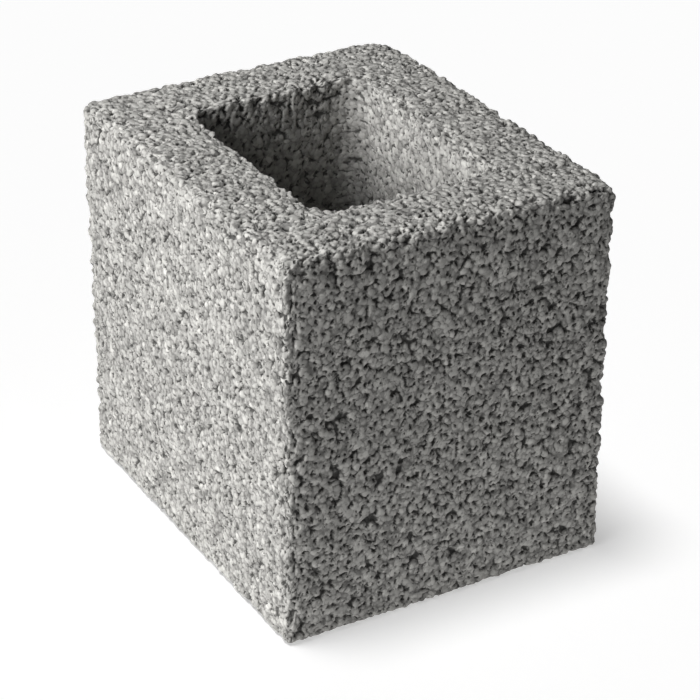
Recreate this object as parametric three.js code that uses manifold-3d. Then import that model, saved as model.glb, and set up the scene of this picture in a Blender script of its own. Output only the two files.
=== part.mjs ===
// Hollow concrete building block with one core: a rectangular block, cast in one piece in a steel mould,
// with a straight-through core whose walls lean slightly so that the core former draws out.
// Millimetres, +Z up. The origin is the middle of the bottom bed face.

import * as THREE from "three";
import { mergeVertices } from "three/addons/utils/BufferGeometryUtils.js";
import Module from "manifold-3d";

// Driving dimensions of the outside.
const width = 190; // X, across the front face
const length = 230; // Y, front face to back face
const height = 215; // Z, bottom bed to top bed
const arrisRadius = 3; // the four upright outer corners, as round as the mould box
const topEdgeRound = 5; // the outer edges of the top bed, where the mould is struck off
const bottomEdgeRound = 2; // the outer edges of the bottom bed, which stands on the pallet

// Driving dimensions of the core.
const topWall = 45; // wall between the core and each outer face, at the top bed
const draft = 2; // how much thinner each wall is at the bottom bed than at the top bed
const coreCornerRadius = 14; // upright corners of the core, at the top bed
const mouthRound = 1.5; // rim of the core at both beds

// How finely the round parts are faceted.
const cornerSteps = 8;
const edgeSteps = 4;

// How far the cutting tool stands out of the block at each bed.
const toolOverrun = 5;

const wasm = await Module();
wasm.setup();

// A rectangle with round corners, centred on the origin, anticlockwise.
function roundedRectangle(sizeX, sizeY, radius) {
  const quarters = [
    [1, 1],
    [-1, 1],
    [-1, -1],
    [1, -1],
  ];
  return quarters.flatMap(([sideX, sideY], quarter) =>
    Array.from({ length: cornerSteps + 1 }, (_, step) => {
      const angle = ((quarter + step / cornerSteps) * Math.PI) / 2;
      return new THREE.Vector2(
        sideX * (sizeX / 2 - radius) + radius * Math.cos(angle),
        sideY * (sizeY / 2 - radius) + radius * Math.sin(angle),
      );
    }),
  );
}

// A closed solid through sections {z, outline} from the lowest up, whose outlines have as many points each.
function loft(sections) {
  const ring = sections[0].outline.length;
  const positions = sections.flatMap(({ z, outline }) =>
    outline.flatMap((point) => [point.x, point.y, z]),
  );
  const faces = [];
  for (let level = 0; level + 1 < sections.length; level++) {
    for (let i = 0; i < ring; i++) {
      const next = (i + 1) % ring;
      const below = level * ring;
      const above = below + ring;
      faces.push(below + i, below + next, above + next);
      faces.push(below + i, above + next, above + i);
    }
  }
  const lid = (sections.length - 1) * ring;
  for (const [a, b, c] of THREE.ShapeUtils.triangulateShape(sections[0].outline, [])) {
    faces.push(a, c, b);
    faces.push(lid + a, lid + b, lid + c);
  }
  return new THREE.BufferGeometry()
    .setAttribute("position", new THREE.Float32BufferAttribute(positions, 3))
    .setIndex(faces);
}

function solidOf(geometry) {
  const bare = geometry.clone();
  bare.deleteAttribute("normal");
  bare.deleteAttribute("uv");
  const merged = mergeVertices(bare, 1e-4);
  return new wasm.Manifold(
    new wasm.Mesh({
      numProp: 3,
      vertProperties: new Float32Array(merged.attributes.position.array),
      triVerts: new Uint32Array(merged.index.array),
    }),
  );
}

function geometryOf(solid) {
  const mesh = solid.getMesh();
  const geometry = new THREE.BufferGeometry()
    .setAttribute("position", new THREE.BufferAttribute(mesh.vertProperties, 3))
    .setIndex(new THREE.BufferAttribute(mesh.triVerts, 1))
    .toNonIndexed();
  geometry.computeVertexNormals();
  return geometry;
}

// Sections round one edge, from a bed at height bed to the upright faces: how far in each stands from the
// faces, and its height. inward is 1 from the bottom bed up and -1 from the top bed down.
function edgeSections(bed, inward, round) {
  return Array.from({ length: edgeSteps + 1 }, (_, step) => {
    const angle = (step / edgeSteps) * (Math.PI / 2);
    const inset = round * (1 - Math.sin(angle));
    return {
      z: bed + inward * round * (1 - Math.cos(angle)),
      outline: roundedRectangle(width - 2 * inset, length - 2 * inset, arrisRadius),
    };
  });
}

// The block before its core is formed: the mould box's section, with the edges of both beds rounded over.
function outerBody() {
  return loft([
    ...edgeSections(0, 1, bottomEdgeRound),
    ...edgeSections(height, -1, topEdgeRound).reverse(),
  ]);
}

// How far the core's wall stands back from its size at the top bed, at a height z: the draft, which
// grows towards the bottom bed, and the round of the rim at the nearer bed.
function coreOffset(z) {
  const lean = draft * (1 - z / height);
  const toBed = Math.min(z, height - z);
  const intoRim = Math.max(0, mouthRound - toBed);
  return lean + mouthRound - Math.sqrt(mouthRound ** 2 - intoRim ** 2);
}

// The core's section at a height z.
function coreOutline(z) {
  const offset = coreOffset(z);
  return roundedRectangle(
    width - 2 * (topWall - offset),
    length - 2 * (topWall - offset),
    coreCornerRadius + offset,
  );
}

// The space that the core former fills, run on past both beds.
function coreTool() {
  const rimHeights = Array.from(
    { length: edgeSteps + 1 },
    (_, step) => mouthRound * (1 - Math.cos((step / edgeSteps) * (Math.PI / 2))),
  );
  const heights = [...rimHeights, ...rimHeights.map((rise) => height - rise).reverse()];
  return loft([
    { z: -toolOverrun, outline: coreOutline(0) },
    ...heights.map((z) => ({ z, outline: coreOutline(z) })),
    { z: height + toolOverrun, outline: coreOutline(height) },
  ]);
}

const concrete = new THREE.MeshStandardMaterial({
  name: "concrete",
  color: 0xa09f9b,
  roughness: 0.95,
  metalness: 0,
});

const block = new THREE.Mesh(
  geometryOf(solidOf(outerBody()).subtract(solidOf(coreTool()))),
  concrete,
);
block.name = "hollow_block";

const part = new THREE.Group();
part.name = "concrete_block";
part.add(block);

export default part;
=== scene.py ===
"""Builds a hollow concrete block with an open aggregate texture, and a plain studio round it."""

import math

import bpy
import numpy as np
from bpy.props import FloatProperty, FloatVectorProperty, IntProperty, PointerProperty
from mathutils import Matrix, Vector


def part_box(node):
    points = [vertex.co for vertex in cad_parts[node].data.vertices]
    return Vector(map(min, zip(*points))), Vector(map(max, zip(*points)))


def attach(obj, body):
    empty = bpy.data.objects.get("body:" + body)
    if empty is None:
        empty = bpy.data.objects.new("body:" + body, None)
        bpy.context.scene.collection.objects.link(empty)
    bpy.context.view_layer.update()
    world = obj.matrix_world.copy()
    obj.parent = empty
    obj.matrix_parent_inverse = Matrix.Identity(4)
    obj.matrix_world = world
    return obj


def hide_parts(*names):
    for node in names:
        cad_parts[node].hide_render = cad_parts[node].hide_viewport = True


bl_info = {
    "name": "Hollow Concrete Block",
    "version": (1, 0, 0),
    "blender": (4, 5, 0),
    "location": "3D View > Sidebar > Concrete Block",
    "description": "Casts the open-textured skin of a hollow concrete block and sets up its studio",
    "category": "Add Mesh",
}

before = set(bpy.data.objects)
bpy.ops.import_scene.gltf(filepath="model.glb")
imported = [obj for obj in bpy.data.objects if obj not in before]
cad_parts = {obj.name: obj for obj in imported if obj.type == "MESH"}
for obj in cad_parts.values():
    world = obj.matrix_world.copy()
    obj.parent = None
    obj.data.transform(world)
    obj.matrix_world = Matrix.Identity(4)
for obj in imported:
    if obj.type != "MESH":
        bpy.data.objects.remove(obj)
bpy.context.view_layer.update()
LOW, HIGH = (Vector(corner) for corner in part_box("hollow_block"))
WIDTH, LENGTH, HEIGHT = HIGH - LOW

MM = 0.001
BED_BLEND = 8 * MM  # how far from a face the beds get as open as they are
FAN = 9 * MM  # how far from an arris the relief's direction starts to turn, so that deep gaps stay apart
MERGE = 0.001 * MM  # how near to each other points are joined
EIGHTH = math.pi / 4  # of a full turn
SIDES = 4

# Each side of the block's plan: the way it runs, anticlockwise from above, and the way it faces.
RUN = np.array([(1, 0), (0, 1), (-1, 0), (0, -1)], float)
FACING = np.array([(0, -1), (1, 0), (0, 1), (-1, 0)], float)
SIDE_NAMES = "front", "right", "back", "left"


class BlockSizes(bpy.types.PropertyGroup):
    top_wall: FloatProperty(
        name="Wall at Top", description="Wall between the core and a face, at the top bed",
        default=0.045, min=0.01, unit="LENGTH",
    )
    draft: FloatProperty(
        name="Core Draft", description="How much thinner each wall is at the bottom bed",
        default=0.002, min=0.0, unit="LENGTH",
    )
    arris_radius: FloatProperty(
        name="Arris Radius", description="Round of the four upright outer edges",
        default=0.003, min=0.0005, unit="LENGTH",
    )
    top_edge_radius: FloatProperty(
        name="Top Edge Radius", description="Round of the outer edges of the top bed",
        default=0.005, min=0.0005, unit="LENGTH",
    )
    bottom_edge_radius: FloatProperty(
        name="Bottom Edge Radius", description="Round of the outer edges of the bottom bed",
        default=0.002, min=0.0005, unit="LENGTH",
    )
    core_corner_radius: FloatProperty(
        name="Core Corner Radius", description="Round of the core's upright corners, at the top bed",
        default=0.014, min=0.001, unit="LENGTH",
    )
    mouth_radius: FloatProperty(
        name="Mouth Radius", description="Round of the core's rim at both beds",
        default=0.0015, min=0.0005, unit="LENGTH",
    )
    edge_wear: FloatProperty(
        name="Edge Wear", description="How much has crumbled off the edges at most",
        default=0.0018, min=0.0, unit="LENGTH",
    )
    edge_wear_reach: FloatProperty(
        name="Edge Wear Reach", description="How far from an edge the crumbling starts",
        default=0.012, min=0.0005, unit="LENGTH",
    )
    worn_corner_reach: FloatProperty(
        name="Worn Corner Reach", description="How far the wear on the back right top corner spreads",
        default=0.028, min=0.0, unit="LENGTH",
    )
    worn_corner_depth: FloatProperty(
        name="Worn Corner Depth", description="How much of that corner is worn off",
        default=0.006, min=0.0, unit="LENGTH",
    )


class TextureSizes(bpy.types.PropertyGroup):
    spacing: FloatProperty(
        name="Mesh Spacing", description="Distance between the points of the skin",
        default=0.0008, min=0.0004, unit="LENGTH",
    )
    core_spacing: FloatProperty(
        name="Core Spacing", description="Distance between the rows of points up the core's walls",
        default=0.0015, min=0.0004, unit="LENGTH",
    )
    grain: FloatProperty(
        name="Grain Size", description="Distance between the middles of the aggregate's grains",
        default=0.0042, min=0.001, unit="LENGTH",
    )
    gap_depth: FloatProperty(
        name="Gap Depth", description="Depth of the open gaps between grains",
        default=0.0018, min=0.0, unit="LENGTH",
    )
    grain_rise: FloatProperty(
        name="Grain Rise", description="How much some grains stand out past others",
        default=0.0004, min=0.0, unit="LENGTH",
    )
    grit_rise: FloatProperty(
        name="Grit Rise", description="Height of the finer grains between and on the others",
        default=0.0002, min=0.0, unit="LENGTH",
    )
    swell: FloatProperty(
        name="Swell", description="Height of the broad unevenness of a face",
        default=0.00025, min=0.0, unit="LENGTH",
    )
    bed_openness: FloatProperty(
        name="Bed Openness", description="How open the texture is on the beds, next to the faces",
        default=1.05, min=0.0,
    )
    core_openness: FloatProperty(
        name="Core Openness", description="How open the texture is inside the core, next to the beds",
        default=0.65, min=0.0, max=1.0, subtype="FACTOR",
    )
    core_reach: FloatProperty(
        name="Core Reach", description="How far down the core its own texture starts",
        default=0.03, min=0.001, unit="LENGTH",
    )
    seed: IntProperty(
        name="Seed", description="Picks another pattern of grains", default=3, min=0,
    )


class ConcreteTones(bpy.types.PropertyGroup):
    cement: FloatVectorProperty(
        name="Cement", description="Colour of the cement paste over the grains",
        default=(0.332, 0.3265, 0.311), subtype="COLOR", min=0.0, max=1.0,
    )
    grain_spread: FloatProperty(
        name="Grain Spread", description="How much the tone differs from grain to grain",
        default=0.4, min=0.0, max=1.0, subtype="FACTOR",
    )
    # Painted shade: the paste's colour is made darker down in the gaps, for the shade that falls there.
    painted_gap_shade: FloatProperty(
        name="Painted Gap Shade", description="How much darker the paste is down in the gaps",
        default=0.73, min=0.0, max=1.0, subtype="FACTOR",
    )


class StudioSettings(bpy.types.PropertyGroup):
    lens: FloatProperty(
        name="Lens", description="Focal length of the camera in millimetres", default=128.6, min=10.0,
    )
    azimuth: FloatProperty(
        name="Camera Azimuth", description="Angle of the camera round the block",
        default=math.radians(-29.8), subtype="ANGLE",
    )
    elevation: FloatProperty(
        name="Camera Elevation", description="Angle of the camera above the horizon",
        default=math.radians(28.7), subtype="ANGLE",
    )
    distance: FloatProperty(
        name="Camera Distance", description="From the camera to the point it looks at",
        default=1.338, unit="LENGTH",
    )
    aim: FloatVectorProperty(
        name="Camera Aim", description="The point that the camera looks at",
        default=(0.0016, -0.0089, 0.0949), subtype="TRANSLATION", unit="LENGTH",
    )
    key_watts: FloatProperty(
        name="Key", description="Power of the soft lamp on the left", default=26.9,
    )
    top_watts: FloatProperty(
        name="Top", description="Power of the soft lamp high up behind", default=12.6,
    )
    floor_sun: FloatProperty(
        name="Floor Sun", description="Strength of the sun that lights the floor", default=2.05,
    )
    ambient: FloatProperty(
        name="Ambient", description="Strength of the light from all round", default=0.165,
    )
    overhead: FloatProperty(
        name="Overhead", description="Share of that light that also comes from straight above",
        default=0.05, min=0.0, max=1.0, subtype="FACTOR",
    )


# ---------------------------------------------------------------- the block's smooth form


# Wear beside that of the other outer edges, and how far it reaches, in reaches of theirs.
FOOT_WEAR, FOOT_REACH = 0.4, 3.0  # at the foot, up to where the wear is as elsewhere
RIM_WEAR, RIM_REACH = 0.9, 0.8  # round the core, away from its rims


def eased(share):
    """Goes smoothly from 0 to 1 while share does, and stays level outside."""
    share = np.clip(share, 0, 1)
    return share * share * (3 - 2 * share)


def turned(travelled, length, reach):
    """Turn from minus to plus an eighth of a circle along a stretch, made within a reach of its two ends."""
    return (np.minimum(travelled / reach, 1) - 1 + np.maximum((travelled - length) / reach + 1, 0)) * EIGHTH


def rounded_side(half_run, half_out, radius, fraction):
    """Points along one side of a rounded rectangle, from the middle of one corner to the middle of the next.
    Returns how far each point is along the side and out from the middle, and which way its relief points."""
    arc = radius * EIGHTH
    flat = 2 * (half_run - radius)
    length = 2 * arc + flat
    travelled = fraction * length
    turn = turned(travelled, length, arc)
    along = np.clip(travelled - arc, 0, flat) - flat / 2 + radius * np.sin(turn)
    out = half_out - radius + radius * np.cos(turn)
    return along, out, turned(travelled, length, np.maximum(arc, FAN))


def plan_ring(inset, radius, around):
    """Plan points and outward normals of the block's outline, moved in by inset. around runs from 0 to 4."""
    side = np.floor(around).astype(int) % SIDES
    fraction = around - np.floor(around)
    lengthwise = side % 2 == 1
    half_run = np.where(lengthwise, LENGTH, WIDTH) / 2 - inset
    half_out = np.where(lengthwise, WIDTH, LENGTH) / 2 - inset
    along, out, turn = rounded_side(half_run, half_out, radius, fraction)
    points = along[..., None] * RUN[side] + out[..., None] * FACING[side]
    normals = np.sin(turn)[..., None] * RUN[side] + np.cos(turn)[..., None] * FACING[side]
    return points, normals


class Profile:
    """A stretch of the section through one wall, from the middle of one rounded edge to the middle of the
    next. An edge is (inset of its centre, height of its centre, radius)."""

    def __init__(self, first, last, start_tilt):
        self.first, self.last, self.start_tilt = np.array(first), np.array(last), start_tilt
        self.straight = math.dist(first[:2], last[:2])
        self.arcs = first[2] * EIGHTH, last[2] * EIGHTH
        self.length = self.straight + sum(self.arcs)

    def at(self, fraction):
        """The inset and height of the surface at a fraction of this stretch, and the tilt of its relief."""
        past_first = fraction * self.length - self.arcs[0]
        share = np.clip(past_first / self.straight, 0, 1)
        inset, height, radius = (
            start + share * (end - start) for start, end in zip(self.first, self.last, strict=True)
        )
        turn = np.minimum(past_first, 0) / self.first[2]
        turn = turn + np.maximum(past_first - self.straight, 0) / self.last[2]
        tilt = self.start_tilt + EIGHTH + turn
        fanned = self.start_tilt + EIGHTH + turned(fraction * self.length, self.length, FAN)
        return inset - radius * np.cos(tilt), height + radius * np.sin(tilt), fanned


class BlockForm:
    """The block's smooth form: every point of its skin from a place round it and a place on its section."""

    def __init__(self, sizes):
        self.sizes = sizes
        bottom_wall = sizes.top_wall - sizes.draft
        low, high, mouth = sizes.bottom_edge_radius, sizes.top_edge_radius, sizes.mouth_radius
        low_edge, high_edge = (low, low, low), (high, HEIGHT - high, high)
        high_mouth = (sizes.top_wall - mouth, HEIGHT - mouth, mouth)
        low_mouth = (bottom_wall - mouth, mouth, mouth)
        self.face = Profile(low_edge, high_edge, -EIGHTH)
        self.top = Profile(high_edge, high_mouth, EIGHTH)
        self.core = Profile(high_mouth, low_mouth, 3 * EIGHTH)
        self.bottom = Profile(low_mouth, low_edge, 5 * EIGHTH)

    def wall(self, height):
        return self.sizes.top_wall - self.sizes.draft * (1 - height / HEIGHT)

    def place(self, around, inset, height, tilt=None):
        """Points of the form, and its outward directions where the surface's tilt is given."""
        wall = self.wall(height)
        lean = self.sizes.top_wall - wall
        outer, outer_normal = plan_ring(0.0, self.sizes.arris_radius, around)
        inner, inner_normal = plan_ring(wall, self.sizes.core_corner_radius + lean, around)
        share = (inset / wall)[..., None]
        plan = outer + (inner - outer) * share
        points = np.concatenate([plan, height[..., None]], axis=-1)
        if tilt is None:
            return points
        facing = np.where(share < 0.5, outer_normal, inner_normal)
        outward = np.concatenate([facing * np.cos(tilt)[..., None], np.sin(tilt)[..., None]], axis=-1)
        return self.knocked(points), outward

    def knocked(self, points):
        """Rounds off the back right top corner, which has been knocked."""
        corner = np.array((WIDTH / 2, LENGTH / 2, HEIGHT))
        reach, depth = self.sizes.worn_corner_reach, self.sizes.worn_corner_depth
        distance = np.linalg.norm(points - corner, axis=-1, keepdims=True)
        wear = depth * np.clip(1 - distance / reach, 0, 1) ** 2
        diagonal = np.ones(3) / math.sqrt(3)
        return points - wear * diagonal

    def edge_nearness(self, points, inset):
        """How worn a point is: 1 on the block's outer edges, falling smoothly to 0 at the wear's reach, and
        less at the foot and round the core. Near an outer edge, two of the box's sides are near."""
        half = np.array((WIDTH, LENGTH, HEIGHT)) / 2
        distances = half - np.abs(points - (0, 0, HEIGHT / 2))
        outer = np.sort(distances, axis=-1)[..., 1]
        rim = np.hypot(distances[..., 2], self.wall(points[..., 2]) - inset)
        reach = self.sizes.edge_wear_reach
        above_foot = eased(points[..., 2] / (FOOT_REACH * reach))
        outer_wear = eased(1 - outer / reach) * (FOOT_WEAR + (1 - FOOT_WEAR) * above_foot)
        return np.maximum(outer_wear, RIM_WEAR * eased(1 - rim / (RIM_REACH * reach)))

    def depth_in_core(self, inset, height):
        """How far below or above the nearer bed a point of the core's wall is, and 0 outside the core."""
        return np.where(inset > self.wall(height) / 2, np.minimum(height, HEIGHT - height), 0)

    def heart(self, around, height):
        """Points in the middle of the wall, where the back of every piece of skin lies."""
        half = self.wall(height) / 2
        return self.place(around, half, np.clip(height, half, HEIGHT - half))


# ---------------------------------------------------------------- the mesh of the skin


# Where a panel's map has its front, the faces round its border and its back: the lower corner and the size.
FRONT_PATCH = (0.01, 0.01), (0.92, 0.98)
BORDER_PATCH = (0.945, 0.01), (0.045, 0.98)
BACK_PATCH = (0.955, 0.02), (0.025, 0.96)

# Sizes on a bed's map, about its middle: the bed, and within its core the two ends and the back of the walls.
BED_PATCH, CORE_END, FACE_END, BED_BACK = 0.98, 0.45, 0.33, 0.39


def steps_along(length, spacing):
    return max(2, round(length / spacing))


def side_steps(form, spacing):
    """Steps along each side of the block's outline, from the middle of one corner to the middle of the next.
    They are even, because the skin has half as many columns round the core."""
    rounding = 2 * (EIGHTH - 1) * form.sizes.arris_radius
    lengths = [(LENGTH if side % 2 else WIDTH) + rounding for side in range(SIDES)]
    return [2 * steps_along(length / 2, spacing) for length in lengths]


def ring_places(steps):
    """Places all round the block, evenly spaced along each side of its outline."""
    return np.concatenate([side + np.arange(count) / count for side, count in enumerate(steps)])


def row_places(length, spacing):
    """Fractions of a stretch at even steps, with one more past each end."""
    steps = steps_along(length, spacing)
    return np.arange(-1, steps + 2) / steps


def faces_of(*corners):
    """Faces from an array of points for each corner."""
    return np.stack([corner.ravel() for corner in corners], axis=1).tolist()


def panel_faces(grid):
    return faces_of(grid[:-1, :-1], grid[:-1, 1:], grid[1:, 1:], grid[1:, :-1])


def ring_faces(rows, halved):
    """Faces between rows of points that close on themselves. A halved row uses every other point."""
    faces = []
    for (row, row_halved), (above, above_halved) in zip(
        zip(rows, halved, strict=True), zip(rows[1:], halved[1:], strict=True), strict=False
    ):
        if not row_halved and not above_halved:
            faces += faces_of(row, np.roll(row, -1), np.roll(above, -1), above)
            continue
        corners = [row[::2], np.roll(row[::2], -1), np.roll(above[::2], -1), above[::2]]
        if not row_halved:
            corners.insert(1, row[1::2])
        if not above_halved:
            corners.insert(3, above[1::2])
        faces += faces_of(*corners)
    return faces


def strip_faces(loop, partner):
    """Faces between two closed loops of as many points each."""
    return faces_of(np.roll(loop, -1), loop, partner, np.roll(partner, -1))


def border_loop(grid):
    """The indices round the border of a grid, anticlockwise."""
    return np.concatenate([grid[0, :-1], grid[:-1, -1], grid[-1, :0:-1], grid[:0:-1, 0]])


class Skin:
    """A grid of points over a stretch of the block's surface. One spare row or column lies past each border,
    so that the surface's normals there are right, and is cut off once they are known."""

    def __init__(self, form, profile, around, rows):
        self.form = form
        self.along = rows[:, None] + 0 * around
        self.around = around + 0 * self.along
        self.inset, self.height, tilt = profile.at(self.along)
        self.points, self.outward = form.place(self.around, self.inset, self.height, tilt)
        self.grid = np.arange(self.around.size).reshape(self.around.shape)

    def values(self, texture):
        """Each point's outward direction, openness and nearness to an edge."""
        on_bed = eased(self.inset / BED_BLEND)
        inside = eased(self.form.depth_in_core(self.inset, self.height) / texture.core_reach)
        openness = 1 + (texture.bed_openness - 1) * on_bed
        openness = openness * (1 - (1 - texture.core_openness) * inside)
        nearness = self.form.edge_nearness(self.points, self.inset)
        return self.outward.reshape(-1, 3), openness.ravel(), nearness.ravel()


def closed_mesh(name, skin, spare, skin_faces, border, backs, closing, places, texture):
    """A mesh of the skin and of the flat faces that close it behind, which have points of their own on the
    skin's border. spare marks the points to cut off. places holds the map's places of the skin, the border
    and the backs."""
    points = skin.points.reshape(-1, 3)
    mesh = bpy.data.meshes.new(name)
    mesh.from_pydata(np.concatenate([points, points[border], backs]).tolist(), [], skin_faces + closing)
    smooth = np.arange(len(mesh.polygons)) < len(skin_faces)
    mesh.polygons.foreach_set("use_smooth", smooth)
    outward, openness, nearness = (
        np.concatenate([value, value[border], np.zeros((len(backs), *value.shape[1:]))])
        for value in skin.values(texture)
    )
    mesh.attributes.new("outward", "FLOAT_VECTOR", "POINT").data.foreach_set("vector", outward.ravel())
    mesh.attributes.new("openness", "FLOAT", "POINT").data.foreach_set("value", openness)
    mesh.attributes.new("edge_nearness", "FLOAT", "POINT").data.foreach_set("value", nearness)
    mesh.attributes.new("spare", "BOOLEAN", "POINT").data.foreach_set("value", spare)
    corners = np.empty(len(mesh.loops), np.int32)
    mesh.loops.foreach_get("vertex_index", corners)
    mesh.uv_layers.new(name="OFBake").uv.foreach_set("vector", np.concatenate(places)[corners].ravel())
    return mesh


def panel_mesh(name, form, profile, side, steps, rows, texture):
    """One side of the outer faces or of the core, with its wall, back to the middle of the wall."""
    start = sum(steps[:side])
    around = np.take(ring_places(steps), range(start - 1, start + steps[side] + 2), mode="wrap")
    skin = Skin(form, profile, around, rows)
    loop = border_loop(skin.grid[1:-1, 1:-1])
    backs = form.heart(skin.around.ravel()[loop], skin.height.ravel()[loop])
    spare = np.zeros(skin.grid.size + 2 * len(loop), bool)
    spare[: skin.grid.size] = True
    spare[skin.grid[1:-1, 1:-1].ravel()] = False
    front_loop = skin.grid.size + np.arange(len(loop))
    back_loop = front_loop + len(loop)
    closing = strip_faces(front_loop, back_loop) + [back_loop[::-1].tolist()]
    across = (np.arange(len(around)) - 1)[None, :] / steps[side] + 0 * skin.along
    flat = np.stack([across.ravel(), skin.along.ravel()], axis=1)
    patches = (flat, FRONT_PATCH), (flat[loop], BORDER_PATCH), (flat[loop], BACK_PATCH)
    places = [corner + part * size for part, (corner, size) in patches]
    return closed_mesh(name, skin, spare, panel_faces(skin.grid), loop, backs, closing, places, texture)


def bed_mesh(name, form, profile, steps, texture):
    """One bed, with its walls, back to the middle of the wall. Its inner half has half as many columns."""
    skin = Skin(form, profile, ring_places(steps), row_places(profile.length, texture.spacing))
    halved = skin.inset[:, 0] > form.wall(skin.height[:, 0]) / 2
    first, last = skin.grid[1], skin.grid[-2]
    border = np.concatenate([last, first])
    backs = form.heart(skin.around[1], skin.height[1])
    closing_rows = skin.grid.size + np.arange(3 * len(first)).reshape(3, -1)[[0, 2, 1]]
    closing_halved = [halved[-2], True, halved[1]]
    spare = np.zeros(skin.grid.size + 3 * len(first), bool)
    for row, is_halved in zip((*skin.grid, *closing_rows), (*halved, *closing_halved), strict=True):
        spare[row[1::2]] = is_halved
    spare[skin.grid[[0, -1]]] = True
    flat = skin.points.reshape(-1, 3)[:, :2] / (WIDTH, LENGTH)
    outline = flat[first if halved[-2] else last]
    ends = np.concatenate([outline * CORE_END, outline * FACE_END])
    places = [0.5 + part for part in (flat * BED_PATCH, ends, outline * BED_BACK)]
    return closed_mesh(
        name, skin, spare, ring_faces(skin.grid, halved), border, backs,
        ring_faces(closing_rows, closing_halved), places, texture,
    )


# ---------------------------------------------------------------- node trees


class Wiring:
    """Adds nodes to a tree. A value given for a socket is another socket, which is linked, or a plain one."""

    def __init__(self, tree):
        self.tree = tree

    def node(self, kind, inputs=None, **settings):
        made = self.tree.nodes.new(kind)
        for name, value in settings.items():
            setattr(made, name, value)
        for key, value in (inputs or {}).items():
            self.feed(made.inputs[key], value)
        return made

    def feed(self, socket, value):
        if isinstance(value, bpy.types.NodeSocket):
            self.tree.links.new(value, socket)
        else:
            socket.default_value = value

    def math(self, operation, *values):
        return self.node("ShaderNodeMath", dict(enumerate(values)), operation=operation).outputs[0]

    def vector(self, operation, *values):
        return self.node("ShaderNodeVectorMath", dict(enumerate(values)), operation=operation).outputs[0]

    def scaled(self, vector, factor):
        return self.node("ShaderNodeVectorMath", {0: vector, "Scale": factor}, operation="SCALE").outputs[0]

    def ramp(self, value, start, end, low=0.0, high=1.0):
        inputs = {"Value": value, "From Min": start, "From Max": end, "To Min": low, "To Max": high}
        return self.node("ShaderNodeMapRange", inputs, interpolation_type="SMOOTHSTEP").outputs["Result"]

    def noise(self, place, scale, detail=2.0, output="Fac"):
        inputs = {"Vector": place, "Scale": scale, "Detail": detail}
        return self.node("ShaderNodeTexNoise", inputs).outputs[output]

    def cells(self, place, scale, feature="F1", **inputs):
        inputs = {"Vector": place, "Scale": scale, **inputs}
        return self.node("ShaderNodeTexVoronoi", inputs, feature=feature).outputs

    def parts(self, vector):
        return self.node("ShaderNodeSeparateXYZ", {0: vector}).outputs

    def lit_surface(self, color, glow):
        """A matt surface that also gives off light of its own."""
        matt = self.node("ShaderNodeBsdfDiffuse", {"Color": color}).outputs[0]
        own = self.node("ShaderNodeEmission", {"Color": (1, 1, 1, 1), "Strength": glow}).outputs[0]
        return self.node("ShaderNodeAddShader", {0: matt, 1: own}).outputs[0]


def new_sockets(tree, in_out, sockets):
    for name, kind in sockets.items():
        tree.interface.new_socket(name, in_out=in_out, socket_type=kind)


# The aggregate. Its lengths are in grains, and those of the grit in grains of grit.
BEND = 0.5  # how far the cells are pushed out of their regular places
BEND_SCALE, CROWD_SCALE, SPLIT_SCALE = 0.8, 0.3, 1.5  # patches to a grain, of each kind of unevenness
GRIT_TO_GRAIN = 1.55  # grains of grit to a grain, along a line
CELL_BLEND = 0.1  # how softly a cell's distance runs over into the next one's
CROWDING = 0.1  # how much nearer the gaps come where few grains lie
GRAIN_SIZES, GRIT_SIZES = 0.14, 0.2  # how much the grains differ in size
GRAIN_DOME, GRIT_DOME = 1.4, 2.0  # how steeply they fall off round their tops
GRAIN_STEP, GRIT_STEP = 0.5, 0.6  # how much their tops differ in height
OPEN_AT, DEEP_AT = 0.64, 0.88  # how far from a grain's middle a gap opens, and is at its deepest
SEAM_EDGE, SEAM_SIDE = 0.04, 0.28  # how far from a seam it is at its deepest, and ends
SPLIT_FROM, SPLIT_TO = 0.53, 0.68  # noise from which the seams split, and to which they open
CHINK_FROM, CHINK_TO = 0.42, 0.66  # how far from the middle of its grit a chink opens, and is at its deepest


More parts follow.
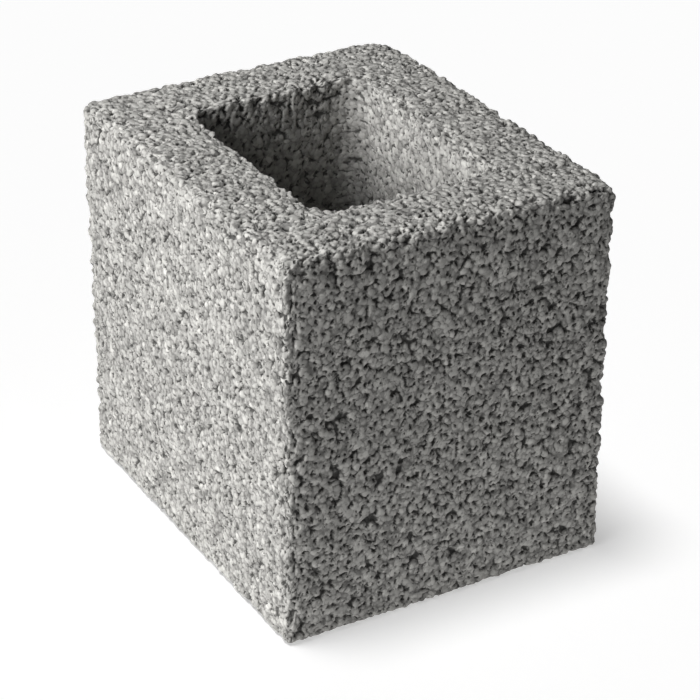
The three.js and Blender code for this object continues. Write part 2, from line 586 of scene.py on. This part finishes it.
def aggregate(wire, place, grain_size):
    """Nodes for the aggregate, in either kind of tree: a slice through a heap of grains and finer grit.
    Gaps lie far from the middles of the grains, and along the stretches of their seams that have split.
    Returns masks of the gaps between the grains and of the chinks in the grit, how far the surface falls
    from the tops of the grains and of the grit, and a random vector for each of both."""
    density = wire.math("DIVIDE", 1.0, grain_size)
    bend = wire.noise(place, wire.math("MULTIPLY", density, BEND_SCALE), 1.0, "Color")
    bend = wire.vector("SUBTRACT", bend, (0.5, 0.5, 0.5))
    place = wire.vector("ADD", place, wire.scaled(bend, wire.math("MULTIPLY", grain_size, BEND)))
    crowd = wire.noise(place, wire.math("MULTIPLY", density, CROWD_SCALE), 1.0)
    split = wire.noise(place, wire.math("MULTIPLY", density, SPLIT_SCALE), 1.0)
    finer = wire.math("MULTIPLY", density, GRIT_TO_GRAIN)

    grain = wire.parts(wire.cells(place, density)["Color"])
    away = wire.cells(place, density, "SMOOTH_F1", Smoothness=CELL_BLEND)["Distance"]
    reach = wire.math("MULTIPLY_ADD", grain["X"], -GRAIN_SIZES, away)
    reach = wire.math("MULTIPLY_ADD", wire.math("SUBTRACT", crowd, 0.5), CROWDING, reach)
    beside = wire.cells(place, density, "DISTANCE_TO_EDGE")["Distance"]
    seam = wire.ramp(beside, SEAM_EDGE, SEAM_SIDE, 1.0, 0.0)
    seam = wire.math("MULTIPLY", seam, wire.ramp(split, SPLIT_FROM, SPLIT_TO))
    gap = wire.math("MAXIMUM", wire.ramp(reach, OPEN_AT, DEEP_AT), seam)
    fall = wire.math("MULTIPLY", grain["Y"], GRAIN_STEP)
    fall = wire.math("MULTIPLY_ADD", wire.math("POWER", away, 2.0), GRAIN_DOME, fall)

    grit = wire.parts(wire.cells(place, finer)["Color"])
    near = wire.cells(place, finer, "SMOOTH_F1", Smoothness=CELL_BLEND)["Distance"]
    chink = wire.ramp(wire.math("MULTIPLY_ADD", grit["X"], -GRIT_SIZES, near), CHINK_FROM, CHINK_TO)
    dip = wire.math("MULTIPLY", grit["Y"], GRIT_STEP)
    dip = wire.math("MULTIPLY_ADD", wire.math("POWER", near, 2.0), GRIT_DOME, dip)
    return gap, chink, fall, dip, grain, grit


def stored(wire, name, kind):
    """A named attribute of the mesh, in a geometry tree."""
    return wire.node("GeometryNodeInputNamedAttribute", {"Name": name}, data_type=kind).outputs[0]


def noted(wire, geometry, name, value, domain):
    """Geometry that keeps a vector as a named attribute."""
    return wire.node(
        "GeometryNodeStoreNamedAttribute", {"Geometry": geometry, "Name": name, "Value": value},
        data_type="FLOAT_VECTOR", domain=domain,
    ).outputs[0]


SEED_STEP = 0.31, 0.17, 0.23  # how far the next seed lies off in the heap of grains, in metres

# How the relief differs on a worn edge, and the unevenness of a face and of its wear.
EDGE_RISE = 3.5  # how many times as far the grains stand out
EDGE_GAP = 0.5  # how many times as deep the gaps are
SWELL_SCALE, WEAR_SCALE = 0.3, 0.6  # patches to a grain
SWELL_FROM, SWELL_TO = 0.3, 0.7  # the noise from no swell to all of it
WEAR_FROM, WEAR_TO = 0.35, 0.7  # the noise from no wear to all of it


def relief_tree():
    """Geometry nodes that press the skin in where there is no grain, note where each point was, cut off the
    spare rows once the normals are known, and join the skin to the faces behind it."""
    tree = bpy.data.node_groups.new("open_texture", "GeometryNodeTree")
    new_sockets(tree, "INPUT", {
        "Geometry": "NodeSocketGeometry", "Grain Size": "NodeSocketFloat", "Gap Depth": "NodeSocketFloat",
        "Grain Rise": "NodeSocketFloat", "Grit Rise": "NodeSocketFloat", "Swell": "NodeSocketFloat",
        "Edge Wear": "NodeSocketFloat", "Seed": "NodeSocketInt", "Material": "NodeSocketMaterial",
    })
    new_sockets(tree, "OUTPUT", {"Geometry": "NodeSocketGeometry"})
    wire = Wiring(tree)
    given = wire.node("NodeGroupInput").outputs
    position = wire.node("GeometryNodeInputPosition").outputs[0]
    seeded = wire.vector("ADD", position, wire.scaled(SEED_STEP, given["Seed"]))
    gap, _, fall, dip, *_ = aggregate(wire, seeded, given["Grain Size"])
    density = wire.math("DIVIDE", 1.0, given["Grain Size"])
    broad = wire.noise(seeded, wire.math("MULTIPLY", density, SWELL_SCALE), 2.0)
    crumbled = wire.noise(seeded, wire.math("MULTIPLY", density, WEAR_SCALE), 2.0)

    edge = stored(wire, "edge_nearness", "FLOAT")
    gap_depth = wire.math("MULTIPLY", given["Gap Depth"], wire.ramp(edge, 0.0, 1.0, 1.0, EDGE_GAP))
    depth = wire.math("MULTIPLY", gap, gap_depth)
    bared = wire.math("MULTIPLY", given["Grain Rise"], wire.ramp(edge, 0.0, 1.0, 1.0, EDGE_RISE))
    depth = wire.math("MULTIPLY_ADD", fall, bared, depth)
    depth = wire.math("MULTIPLY_ADD", dip, given["Grit Rise"], depth)
    openness = stored(wire, "openness", "FLOAT")
    depth = wire.math("MULTIPLY", depth, wire.math("MULTIPLY", openness, openness))
    depth = wire.math("MULTIPLY_ADD", wire.ramp(broad, SWELL_FROM, SWELL_TO), given["Swell"], depth)
    wear = wire.math("MULTIPLY", wire.ramp(crumbled, WEAR_FROM, WEAR_TO), edge)
    depth = wire.math("MULTIPLY_ADD", wear, given["Edge Wear"], depth)
    inward = wire.scaled(stored(wire, "outward", "FLOAT_VECTOR"), wire.math("MULTIPLY", depth, -1.0))

    geometry = noted(wire, given["Geometry"], "cast_place", seeded, "POINT")
    geometry = wire.node("GeometryNodeSetPosition", {"Geometry": geometry, "Offset": inward}).outputs[0]
    normal = wire.node("GeometryNodeInputNormal").outputs[0]
    geometry = noted(wire, geometry, "relief_normal", normal, "CORNER")
    geometry = wire.node(
        "GeometryNodeDeleteGeometry", {"Geometry": geometry, "Selection": stored(wire, "spare", "BOOLEAN")}
    ).outputs[0]
    geometry = wire.node("GeometryNodeMergeByDistance", {"Geometry": geometry, "Distance": MERGE}).outputs[0]
    geometry = wire.node("GeometryNodeRealizeInstances", {"Geometry": geometry}).outputs[0]
    faced = wire.node("GeometryNodeSetMaterial", {"Geometry": geometry, "Material": given["Material"]})
    wire.feed(wire.node("NodeGroupOutput").inputs["Geometry"], faced.outputs[0])
    return tree


# How far the tone of the paste goes up and down with each kind of unevenness, and how much shade is painted
# in: down in the dips of the grit, on worn edges, and in the gaps and chinks.
SAND_TONE, CLOUD_TONE, CLUMP_TONE, DIP_SHADE = 0.12, 0.2, 0.22, -0.15
EDGE_SHADE = 0.93  # painted shade on a worn edge: its tone beside the rest
GRIT_SHARE = 0.7  # how much of the grains' spread the grit has
PALE_POWER = 4.0  # the higher, the fewer grains of grit are pale
GAP_FULL = 0.7  # how deep in a gap the painted shade is at its darkest
CHINK_SHADE = 0.4  # how much painted shade a chink gets beside a gap
SAND_SCALE, CLOUD_SCALE = 900.0, 45.0  # patches to a metre
CLUMP_SCALE = 0.5  # patches to a grain

SMOOTHEST, ROUGHEST = 0.82, 0.97  # roughness of the paste
SAND_FROM, SAND_TO = 0.2, 0.8  # the sand's noise from the smoothest to the roughest paste
DRY_SHINE = 0.15  # specular level of the dry surface
FINE_RELIEF = 1.0 * MM  # what a fine height of 1 stands for

# Shares of each in the fine height, which only shades the surface.
SAND_HEIGHT, GAP_HEIGHT, FALL_HEIGHT, CHINK_HEIGHT, DIP_HEIGHT = -0.06, 0.4, 0.1, 0.25, 0.12


def tone_group():
    """Shader group for the tone, roughness and fine height of the cement paste, with shade painted into the
    tone down in the gaps, chinks and dips and on worn edges.
    """
    tree = bpy.data.node_groups.new("cement_paste", "ShaderNodeTree")
    new_sockets(tree, "INPUT", {
        "Cement": "NodeSocketColor", "Grain Size": "NodeSocketFloat", "Grain Spread": "NodeSocketFloat",
        "Painted Gap Shade": "NodeSocketFloat",
    })
    new_sockets(tree, "OUTPUT", {
        "Color": "NodeSocketColor", "Roughness": "NodeSocketFloat", "Height": "NodeSocketFloat",
    })
    wire = Wiring(tree)
    given = wire.node("NodeGroupInput").outputs
    cast = wire.node("ShaderNodeAttribute", attribute_name="cast_place").outputs["Vector"]
    openness = wire.node("ShaderNodeAttribute", attribute_name="openness").outputs["Fac"]
    edge = wire.node("ShaderNodeAttribute", attribute_name="edge_nearness").outputs["Fac"]
    place = wire.node("ShaderNodeTexCoord").outputs["Object"]
    gap, chink, fall, dip, grain, grit = aggregate(wire, cast, given["Grain Size"])
    gap, chink, fall, dip = (wire.math("MULTIPLY", value, openness) for value in (gap, chink, fall, dip))
    sand = wire.noise(place, SAND_SCALE, 2.0)
    cloud = wire.noise(place, CLOUD_SCALE, 3.0)
    clump = wire.noise(cast, wire.math("DIVIDE", CLUMP_SCALE, given["Grain Size"]), 1.0)

    def varied(tone, value, spread):
        return wire.math("MULTIPLY_ADD", wire.math("SUBTRACT", value, 0.5), spread, tone)

    tone = varied(1.0, grain["Z"], given["Grain Spread"])
    tone = varied(tone, grit["Z"], wire.math("MULTIPLY", given["Grain Spread"], GRIT_SHARE))
    pale = wire.math("POWER", grit["X"], PALE_POWER)
    tone = wire.math("MULTIPLY_ADD", pale, given["Grain Spread"], tone)
    # The deeper dips of the grit get painted shade, so the tops of the grit come out lighter.
    for value, spread in ((sand, SAND_TONE), (cloud, CLOUD_TONE), (clump, CLUMP_TONE), (dip, DIP_SHADE)):
        tone = varied(tone, value, spread)
    # Painted shade on the worn edges.
    tone = wire.math("MULTIPLY", tone, wire.ramp(edge, 0.0, 1.0, 1.0, EDGE_SHADE))
    # Painted shade down in the gaps and chinks.
    painted_pore_shade = wire.math("MAXIMUM", wire.ramp(gap, 0.0, GAP_FULL), wire.math("MULTIPLY", chink, CHINK_SHADE))
    shade = wire.math("SUBTRACT", 1.0, wire.math("MULTIPLY", painted_pore_shade, given["Painted Gap Shade"]))
    color = wire.scaled(given["Cement"], wire.math("MULTIPLY", tone, shade))
    depth = wire.math("MULTIPLY", sand, SAND_HEIGHT)
    shares = (gap, GAP_HEIGHT), (fall, FALL_HEIGHT), (chink, CHINK_HEIGHT), (dip, DIP_HEIGHT)
    for value, share in shares:
        depth = wire.math("MULTIPLY_ADD", value, share, depth)
    out = wire.node("NodeGroupOutput").inputs
    wire.feed(out["Color"], color)
    wire.feed(out["Roughness"], wire.ramp(sand, SAND_FROM, SAND_TO, SMOOTHEST, ROUGHEST))
    wire.feed(out["Height"], wire.math("MULTIPLY", depth, -1.0))
    return tree


def concrete_material(tones, grain_size):
    material = bpy.data.materials.new("rough_concrete")
    material.use_nodes = True
    material.node_tree.nodes.clear()
    wire = Wiring(material.node_tree)
    paste = wire.node("ShaderNodeGroup", node_tree=bpy.data.node_groups["cement_paste"])
    wire.feed(paste.inputs["Cement"], (*tones.cement, 1.0))
    wire.feed(paste.inputs["Grain Size"], grain_size)
    wire.feed(paste.inputs["Grain Spread"], tones.grain_spread)
    wire.feed(paste.inputs["Painted Gap Shade"], tones.painted_gap_shade)
    bumped = wire.node(
        "ShaderNodeBump", {"Height": paste.outputs["Height"], "Strength": 1.0, "Distance": FINE_RELIEF}
    )
    shader = wire.node("ShaderNodeBsdfPrincipled", {
        "Base Color": paste.outputs["Color"], "Roughness": paste.outputs["Roughness"],
        "Normal": bumped.outputs[0], "Specular IOR Level": DRY_SHINE,
    })
    wire.feed(wire.node("ShaderNodeOutputMaterial").inputs["Surface"], shader.outputs[0])
    return material


# ---------------------------------------------------------------- making the pieces


def set_inputs(modifier, values):
    """Sets a geometry nodes modifier's inputs by name, through their identifiers."""
    for item in modifier.node_group.interface.items_tree:
        if item.item_type == "SOCKET" and item.in_out == "INPUT" and item.name in values:
            modifier[item.identifier] = values[item.name]


def keep_normals(mesh):
    """Gives the mesh the normals that its surface had while it still ran on past its borders."""
    held = mesh.attributes["relief_normal"].data
    normals = np.empty(3 * len(held), np.float32)
    held.foreach_get("vector", normals)
    mesh.normals_split_custom_set(normals.reshape(-1, 3))
    for name in ("relief_normal", "outward", "edge_nearness", "spare"):
        mesh.attributes.remove(mesh.attributes[name])


def textured_piece(context, mesh):
    """Runs the open texture over a mesh and links the result as a piece of the block."""
    texture = context.scene.block_texture
    name = mesh.name
    rough = bpy.data.objects.new(name + "_smooth", mesh)
    context.scene.collection.objects.link(rough)
    modifier = rough.modifiers.new("open_texture", "NODES")
    modifier.node_group = bpy.data.node_groups.get("open_texture") or relief_tree()
    set_inputs(modifier, {
        "Grain Size": texture.grain, "Gap Depth": texture.gap_depth, "Grain Rise": texture.grain_rise,
        "Grit Rise": texture.grit_rise, "Swell": texture.swell, "Seed": texture.seed,
        "Edge Wear": context.scene.block_sizes.edge_wear, "Material": face_material(context),
    })
    depsgraph = context.evaluated_depsgraph_get()
    finished = bpy.data.meshes.new_from_object(rough.evaluated_get(depsgraph), depsgraph=depsgraph)
    bpy.data.objects.remove(rough)
    bpy.data.meshes.remove(mesh)
    finished.name = name
    keep_normals(finished)
    piece = bpy.data.objects.new(name, finished)
    context.scene.collection.objects.link(piece)
    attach(piece, "root")
    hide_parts("hollow_block")
    return piece


def face_material(context):
    if "cement_paste" not in bpy.data.node_groups:
        tone_group()
    return bpy.data.materials.get("rough_concrete") or concrete_material(
        context.scene.block_tones, context.scene.block_texture.grain
    )


class CastFaces(bpy.types.Operator):
    """Make the four outer faces"""

    bl_idname = "concrete_block.cast_faces"
    bl_label = "Cast Faces"

    def execute(self, context):
        form, texture = BlockForm(context.scene.block_sizes), context.scene.block_texture
        steps = side_steps(form, texture.spacing)
        rows = row_places(form.face.length, texture.spacing)
        for side, name in enumerate(SIDE_NAMES):
            mesh = panel_mesh(name + "_face", form, form.face, side, steps, rows, texture)
            textured_piece(context, mesh)
        return {"FINISHED"}


class CastBeds(bpy.types.Operator):
    """Make the top and bottom beds"""

    bl_idname = "concrete_block.cast_beds"
    bl_label = "Cast Beds"

    def execute(self, context):
        form, texture = BlockForm(context.scene.block_sizes), context.scene.block_texture
        steps = side_steps(form, texture.spacing)
        for name, profile in {"top_bed": form.top, "bottom_bed": form.bottom}.items():
            textured_piece(context, bed_mesh(name, form, profile, steps, texture))
        return {"FINISHED"}


class CastCore(bpy.types.Operator):
    """Make the four walls of the core"""

    bl_idname = "concrete_block.cast_core"
    bl_label = "Cast Core"

    def execute(self, context):
        form, texture = BlockForm(context.scene.block_sizes), context.scene.block_texture
        steps = [count // 2 for count in side_steps(form, texture.spacing)]
        rows = row_places(form.core.length, texture.core_spacing)
        for side, name in enumerate(SIDE_NAMES):
            mesh = panel_mesh(name + "_core_wall", form, form.core, side, steps, rows, texture)
            textured_piece(context, mesh)
        return {"FINISHED"}


# ---------------------------------------------------------------- the studio


SENSOR_WIDTH = 36.0  # millimetres

# The lamps: how far from the block they stand, and where each does, as azimuth and elevation in degrees.
LAMP_DISTANCE = 1.4
KEY_PLACE = -88, 27
TOP_PLACE = -130, 62
SUN_PLACE = -115, 81
KEY_WIDTH, TOP_WIDTH = 0.9, 1.0  # metres
SUN_WIDTH = 16  # degrees

FLOOR_HALF = 6.0  # metres, from the middle of the floor to its border
FLOOR_WHITE = 0.8
FOOTPRINT = 0.9  # share of the block's width and length under which the floor gets painted shade
FOOTPRINT_GLOW, MORE_GLOW = 0.1, 0.33  # glow of the floor there, cut down as painted shade, and how much more it has elsewhere
LIFT, LIFT_FROM, LIFT_TO = 0.6, 0.15, 0.6  # glow that only the block sees, painted bounce light, and where it fades, in metres
SKY_FROM, SKY_TO = 0.1, 0.7  # how high up, from 0 to 1, the light from all round fades to its overhead share


def direction(azimuth, elevation):
    """Unit vector towards a place round the block. Azimuth 0 is in front and -90 degrees is to the left."""
    flat = math.cos(elevation)
    return Vector((math.sin(azimuth) * flat, -math.cos(azimuth) * flat, math.sin(elevation)))


def aimed(item, place, target):
    item.location = place
    item.rotation_euler = (target - place).to_track_quat("-Z", "Y").to_euler()


def add_camera(context, studio):
    camera = bpy.data.cameras.new("camera")
    camera.lens = studio.lens
    camera.sensor_width = SENSOR_WIDTH
    item = bpy.data.objects.new("camera", camera)
    context.scene.collection.objects.link(item)
    target = Vector(studio.aim)
    aimed(item, target + direction(studio.azimuth, studio.elevation) * studio.distance, target)
    context.scene.camera = item


def add_lamp(context, name, lamp, place, lit):
    """A lamp in the place that an azimuth and an elevation give, in degrees. It looks at the middle of the
    block and lights nothing but the lit items."""
    item = bpy.data.objects.new(name, lamp)
    context.scene.collection.objects.link(item)
    target = Vector((0, 0, HEIGHT / 2))
    azimuth, elevation = (math.radians(angle) for angle in place)
    aimed(item, target + direction(azimuth, elevation) * LAMP_DISTANCE, target)
    receivers = bpy.data.collections.new(name + "_lights")
    for receiver in lit:
        receivers.objects.link(receiver)
    item.light_linking.receiver_collection = receivers


def soft_disk(name, size, watts):
    lamp = bpy.data.lights.new(name, "AREA")
    lamp.shape = "DISK"
    lamp.size = size
    lamp.energy = watts
    return lamp


def soft_sun(name, width, strength):
    lamp = bpy.data.lights.new(name, "SUN")
    lamp.angle = math.radians(width)
    lamp.energy = strength
    return lamp


def floor_material():
    """A white floor that glows a little, to look white to the camera, and shows the block's shadow. Under the
    block it glows less, as painted shade where the floor down the core lies in shade. The block sees another
    glow, painted bounce light which fades with distance, and none under it, so that no light comes up the
    core."""
    material = bpy.data.materials.new("studio_floor")
    material.use_nodes = True
    material.node_tree.nodes.clear()
    wire = Wiring(material.node_tree)
    path = wire.node("ShaderNodeLightPath").outputs
    position = wire.node("ShaderNodeTexCoord").outputs["Object"]
    place = wire.parts(position)
    along = wire.math("DIVIDE", wire.math("ABSOLUTE", place["Y"]), LENGTH / 2)
    across = wire.math("DIVIDE", wire.math("ABSOLUTE", place["X"]), WIDTH / 2)
    clear = wire.math("GREATER_THAN", wire.math("MAXIMUM", along, across), FOOTPRINT)
    away = wire.node("ShaderNodeVectorMath", {0: position}, operation="LENGTH").outputs["Value"]
    lift = wire.math("MULTIPLY", wire.ramp(away, LIFT_FROM, LIFT_TO, LIFT, 0.0), clear)
    # Less glow under the block: painted shade on the floor down the core.
    glow = wire.math("MULTIPLY_ADD", clear, MORE_GLOW, FOOTPRINT_GLOW)
    felt = wire.lit_surface(wire.math("MULTIPLY", clear, FLOOR_WHITE), lift)
    seen = wire.lit_surface((FLOOR_WHITE, FLOOR_WHITE, FLOOR_WHITE, 1), glow)
    shown = wire.math("MAXIMUM", path["Is Camera Ray"], path["Is Glossy Ray"])
    mix = wire.node("ShaderNodeMixShader", {0: shown, 1: felt, 2: seen}).outputs[0]
    wire.feed(wire.node("ShaderNodeOutputMaterial").inputs["Surface"], mix)
    return material


def add_floor(context):
    mesh = bpy.data.meshes.new("studio_floor")
    corners = [(FLOOR_HALF * x, FLOOR_HALF * y, 0) for x, y in ((-1, -1), (1, -1), (1, 1), (-1, 1))]
    mesh.from_pydata(corners, [], [(0, 1, 2, 3)])
    mesh.materials.append(floor_material())
    floor = bpy.data.objects.new("studio_floor", mesh)
    context.scene.collection.objects.link(floor)
    return floor


def add_world(context, ambient, overhead):
    """White to the camera. It lights the block with its ambient strength from the sides, and with the share
    overhead of that from straight above, so that little light falls down the core."""
    world = bpy.data.worlds.new("studio_world")
    context.scene.world = world
    world.use_nodes = True
    world.node_tree.nodes.clear()
    wire = Wiring(world.node_tree)
    path = wire.node("ShaderNodeLightPath").outputs
    upward = wire.parts(wire.node("ShaderNodeTexCoord").outputs["Generated"])["Z"]
    light = wire.ramp(upward, SKY_FROM, SKY_TO, ambient, ambient * overhead)
    strength = wire.node(
        "ShaderNodeMix", {"Factor": path["Is Camera Ray"], "A": light, "B": 1.0}, data_type="FLOAT"
    ).outputs[0]
    background = wire.node("ShaderNodeBackground", {"Color": (1, 1, 1, 1), "Strength": strength})
    wire.feed(wire.node("ShaderNodeOutputWorld").inputs["Surface"], background.outputs[0])


class BuildStudio(bpy.types.Operator):
    """Make the camera, the lamps, the world and the floor"""

    bl_idname = "concrete_block.build_studio"
    bl_label = "Build Studio"

    def execute(self, context):
        studio = context.scene.block_studio
        context.scene.view_settings.view_transform = "Standard"
        add_camera(context, studio)
        block = [item for item in context.scene.objects if item.type == "MESH"]
        floor = add_floor(context)
        lamps = (
            ("key_lamp", soft_disk("key_lamp", KEY_WIDTH, studio.key_watts), KEY_PLACE, block),
            ("top_lamp", soft_disk("top_lamp", TOP_WIDTH, studio.top_watts), TOP_PLACE, block),
            ("floor_sun", soft_sun("floor_sun", SUN_WIDTH, studio.floor_sun), SUN_PLACE, [floor]),
        )
        for name, lamp, place, lit in lamps:
            add_lamp(context, name, lamp, place, lit)
        add_world(context, studio.ambient, studio.overhead)
        return {"FINISHED"}


class BlockPanel(bpy.types.Panel):
    bl_idname = "VIEW3D_PT_concrete_block"
    bl_label = "Concrete Block"
    bl_space_type = "VIEW_3D"
    bl_region_type = "UI"
    bl_category = "Concrete Block"

    def draw(self, context):
        for group in SETTINGS:
            settings = getattr(context.scene, group)
            box = self.layout.box()
            for name in settings.__annotations__:
                box.prop(settings, name)
        for operator in OPERATORS:
            self.layout.operator(operator.bl_idname)


SETTINGS = {
    "block_sizes": BlockSizes,
    "block_texture": TextureSizes,
    "block_tones": ConcreteTones,
    "block_studio": StudioSettings,
}
OPERATORS = (CastFaces, CastBeds, CastCore, BuildStudio)


def register():
    for kind in (*SETTINGS.values(), *OPERATORS, BlockPanel):
        bpy.utils.register_class(kind)
    for name, kind in SETTINGS.items():
        setattr(bpy.types.Scene, name, PointerProperty(type=kind))


def unregister():
    for name in SETTINGS:
        delattr(bpy.types.Scene, name)
    for kind in reversed((*SETTINGS.values(), *OPERATORS, BlockPanel)):
        bpy.utils.unregister_class(kind)


def main():
    register()
    bpy.ops.concrete_block.cast_faces()
    bpy.ops.concrete_block.cast_beds()
    bpy.ops.concrete_block.cast_core()
    bpy.ops.concrete_block.build_studio()


if __name__ == "__main__":
    main()
